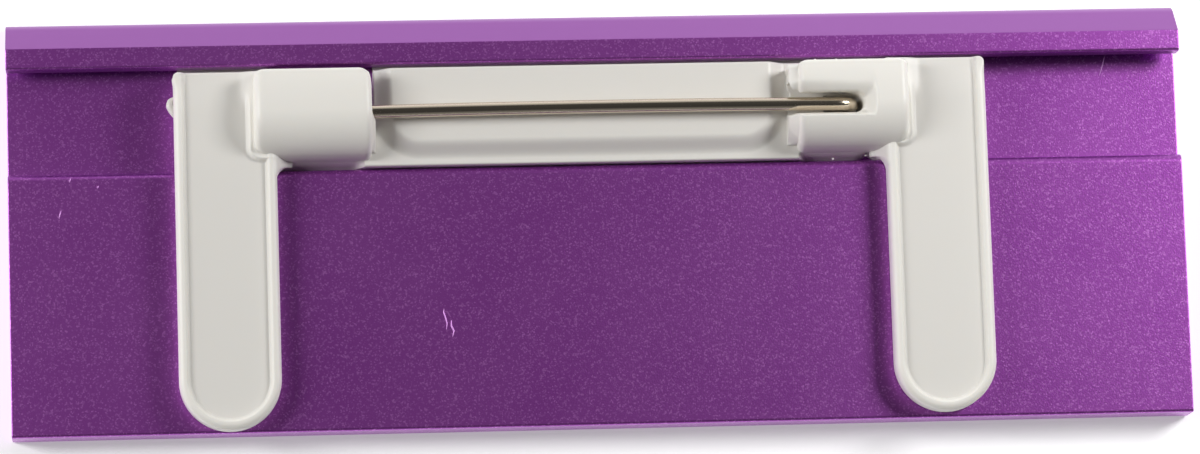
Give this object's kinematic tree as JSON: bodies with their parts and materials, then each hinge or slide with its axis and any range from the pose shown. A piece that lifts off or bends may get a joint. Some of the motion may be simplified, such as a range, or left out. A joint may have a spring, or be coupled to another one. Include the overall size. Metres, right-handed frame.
{
  "type": "name badge",
  "caption": "Flat metal name badge lying on its front face, with a moulded pin fitting held in a channel under a bevelled lip along its back.",
  "frame": {"origin": "centre of the badge's outline, on its front face, which is the face it lies on", "axes": "+X along the badge, +Y from its bottom edge to the lip, +Z out of its back"},
  "size_m": [0.075, 0.0264, 0.0056],
  "materials": {
    "anodised_aluminium": "purple anodised over a fine blasted surface, with brighter rubbed edges",
    "moulded_plastic": "moulded, warm pale grey, softly glossy",
    "nickel_plated_wire": "drawn steel wire, bright nickel plated"
  },
  "bodies": {
    "badge": {"badge_plate": "anodised_aluminium", "pin_fitting": "moulded_plastic"},
    "pin": {"pin_wire": "nickel_plated_wire"}
  },
  "joints": [
    {"name": "pin_swing", "type": "hinge", "parent": "badge", "child": "pin", "pos_m": [0.01619, 0.00677, 0.00421], "axis": [0, 0, -1], "range_deg": [0, 10]}
  ]
}
